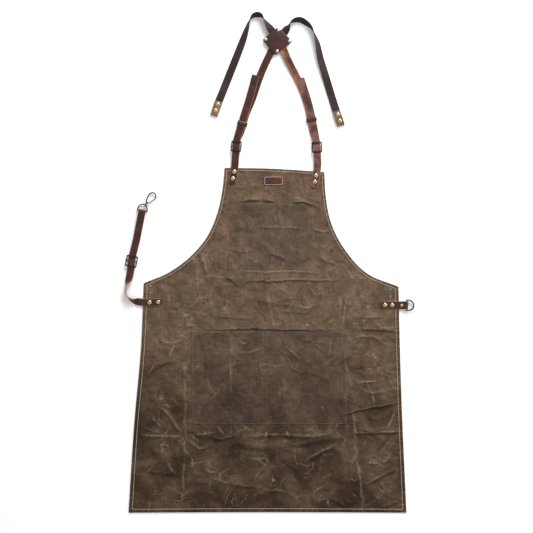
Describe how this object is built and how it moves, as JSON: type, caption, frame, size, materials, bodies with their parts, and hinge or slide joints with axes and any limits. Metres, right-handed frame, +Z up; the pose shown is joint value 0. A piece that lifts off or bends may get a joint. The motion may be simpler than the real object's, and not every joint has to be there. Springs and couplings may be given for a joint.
{
  "type": "cross-back work apron",
  "caption": "Waxed canvas bib apron with leather cross-back straps, pockets, a snap-hook waist strap and a D-ring tab, laid flat.",
  "frame": {"origin": "on the surface it lies on, in the middle of the whole layout seen from above", "axes": "+X to the right across the apron, +Y from the hem towards the shoulder straps, +Z up from the surface, out of the apron's front"},
  "size_m": [0.7234, 1.2497, 0.0196],
  "materials": {
    "waxed_canvas": "waxed cotton canvas, matt with pale crease lines",
    "pocket_canvas": "waxed cotton canvas, slightly greyer and darker",
    "leather": "pull-up leather, satin, dark red-brown with tan cut edges",
    "label_leather": "smooth leather with a stitched border, blank",
    "webbing": "close woven cotton webbing, matt",
    "brass": "antique brass, polished dome",
    "nickel": "pale nickel, polished",
    "gunmetal": "dark gunmetal, satin"
  },
  "bodies": {
    "apron": {"body_panel": "waxed_canvas", "chest_pocket": "pocket_canvas", "lap_pocket": "pocket_canvas", "label_patch": "label_leather", "eyelet_left_upper": "gunmetal", "eyelet_left_lower": "gunmetal", "eyelet_right_upper": "gunmetal", "eyelet_right_lower": "gunmetal", "left_strap_root": "leather", "right_strap_root": "leather", "waist_strap_root": "leather", "ring_tab": "leather", "bib_rivet_left_upper": "brass", "bib_rivet_left_lower": "brass", "bib_rivet_right_upper": "brass", "bib_rivet_right_lower": "brass", "waist_rivet_outer": "brass", "waist_rivet_inner": "brass", "ring_tab_rivet_inner": "brass", "ring_tab_rivet_middle": "brass", "ring_tab_rivet_end": "brass"},
    "harness": {"left_bib_strap": "leather", "right_bib_strap": "leather", "left_upper_strap": "leather", "right_upper_strap": "leather", "cross_patch_back": "leather", "cross_patch_front": "leather", "patch_rivet_top": "nickel", "patch_rivet_left": "nickel", "patch_rivet_bottom": "nickel", "patch_rivet_right": "nickel", "left_webbing_root": "webbing", "right_webbing_root": "webbing"},
    "left_tail": {"left_webbing_tail": "webbing", "left_tail_tab": "leather", "left_tail_rivet_upper": "brass", "left_tail_rivet_lower": "brass"},
    "right_tail": {"right_webbing_tail": "webbing", "right_tail_tab": "leather", "right_tail_rivet_upper": "brass", "right_tail_rivet_lower": "brass"},
    "left_slider": {"left_slider": "gunmetal"},
    "right_slider": {"right_slider": "gunmetal"},
    "left_keeper": {"left_keeper": "leather"},
    "right_keeper": {"right_keeper": "leather"},
    "waist_strap": {"waist_strap": "leather"},
    "waist_slider": {"waist_slider": "gunmetal"},
    "hook_loop": {"hook_loop": "gunmetal"},
    "snap_eye": {"snap_eye": "gunmetal"},
    "snap_hook": {"snap_hook": "gunmetal"},
    "snap_gate": {"snap_gate": "gunmetal"},
    "d_ring": {"d_ring": "gunmetal"}
  },
  "joints": [
    {"name": "harness_fold", "type": "hinge", "parent": "apron", "child": "harness", "pos_m": [0.01615, 0.2377, 0.0037], "axis": [0.999, -0.0437, 0], "range_deg": [0, 120]},
    {"name": "left_slider_slide", "type": "slide", "parent": "harness", "child": "left_slider", "axis": [-0.0748, -0.9972, 0], "range_m": [0, 0.014]},
    {"name": "right_slider_slide", "type": "slide", "parent": "harness", "child": "right_slider", "axis": [0.0651, -0.9979, 0], "range_m": [0, 0.014]},
    {"name": "left_keeper_slide", "type": "slide", "parent": "harness", "child": "left_keeper", "axis": [0.2853, 0.9585, 0], "range_m": [-0.012, 0.012]},
    {"name": "right_keeper_slide", "type": "slide", "parent": "harness", "child": "right_keeper", "axis": [-0.1942, 0.981, 0], "range_m": [-0.012, 0.012]},
    {"name": "left_tail_swing", "type": "hinge", "parent": "harness", "child": "left_tail", "pos_m": [-0.0482, 0.6077, 0.0098], "axis": [0, 0, 1], "range_deg": [-25, 8]},
    {"name": "right_tail_swing", "type": "hinge", "parent": "harness", "child": "right_tail", "pos_m": [0.0518, 0.5982, 0.0098], "axis": [0, 0, 1], "range_deg": [-8, 25]},
    {"name": "waist_strap_fold", "type": "hinge", "parent": "apron", "child": "waist_strap", "pos_m": [-0.3227, -0.0984, 0.0037], "axis": [0.1445, 0.9895, 0], "range_deg": [0, 90]},
    {"name": "waist_slider_slide", "type": "slide", "parent": "waist_strap", "child": "waist_slider", "axis": [0.1941, 0.981, 0], "range_m": [0, 0.045]},
    {"name": "hook_loop_swing", "type": "hinge", "parent": "waist_strap", "child": "hook_loop", "pos_m": [-0.3182, 0.1285, 0.0043], "axis": [0.981, -0.1941, 0], "range_deg": [0, 100]},
    {"name": "snap_eye_swing", "type": "hinge", "parent": "hook_loop", "child": "snap_eye", "pos_m": [-0.31, 0.14325, 0.0043], "axis": [0.8387, -0.5446, 0], "range_deg": [0, 60]},
    {"name": "snap_hook_swivel", "type": "hinge", "parent": "snap_eye", "child": "snap_hook", "pos_m": [-0.30619, 0.14912, 0.0043], "axis": [0.5446, 0.8387, 0], "continuous": true},
    {"name": "snap_gate_open", "type": "hinge", "parent": "snap_hook", "child": "snap_gate", "pos_m": [-0.30066, 0.14863, 0.0043], "axis": [0, 0, 1], "range_deg": [0, 25], "stiffness_Nm_per_rad": 0.002},
    {"name": "d_ring_swing", "type": "hinge", "parent": "apron", "child": "d_ring", "pos_m": [0.3418, -0.1068, 0.0051], "axis": [0, -1, 0], "range_deg": [0, 110]}
  ]
}
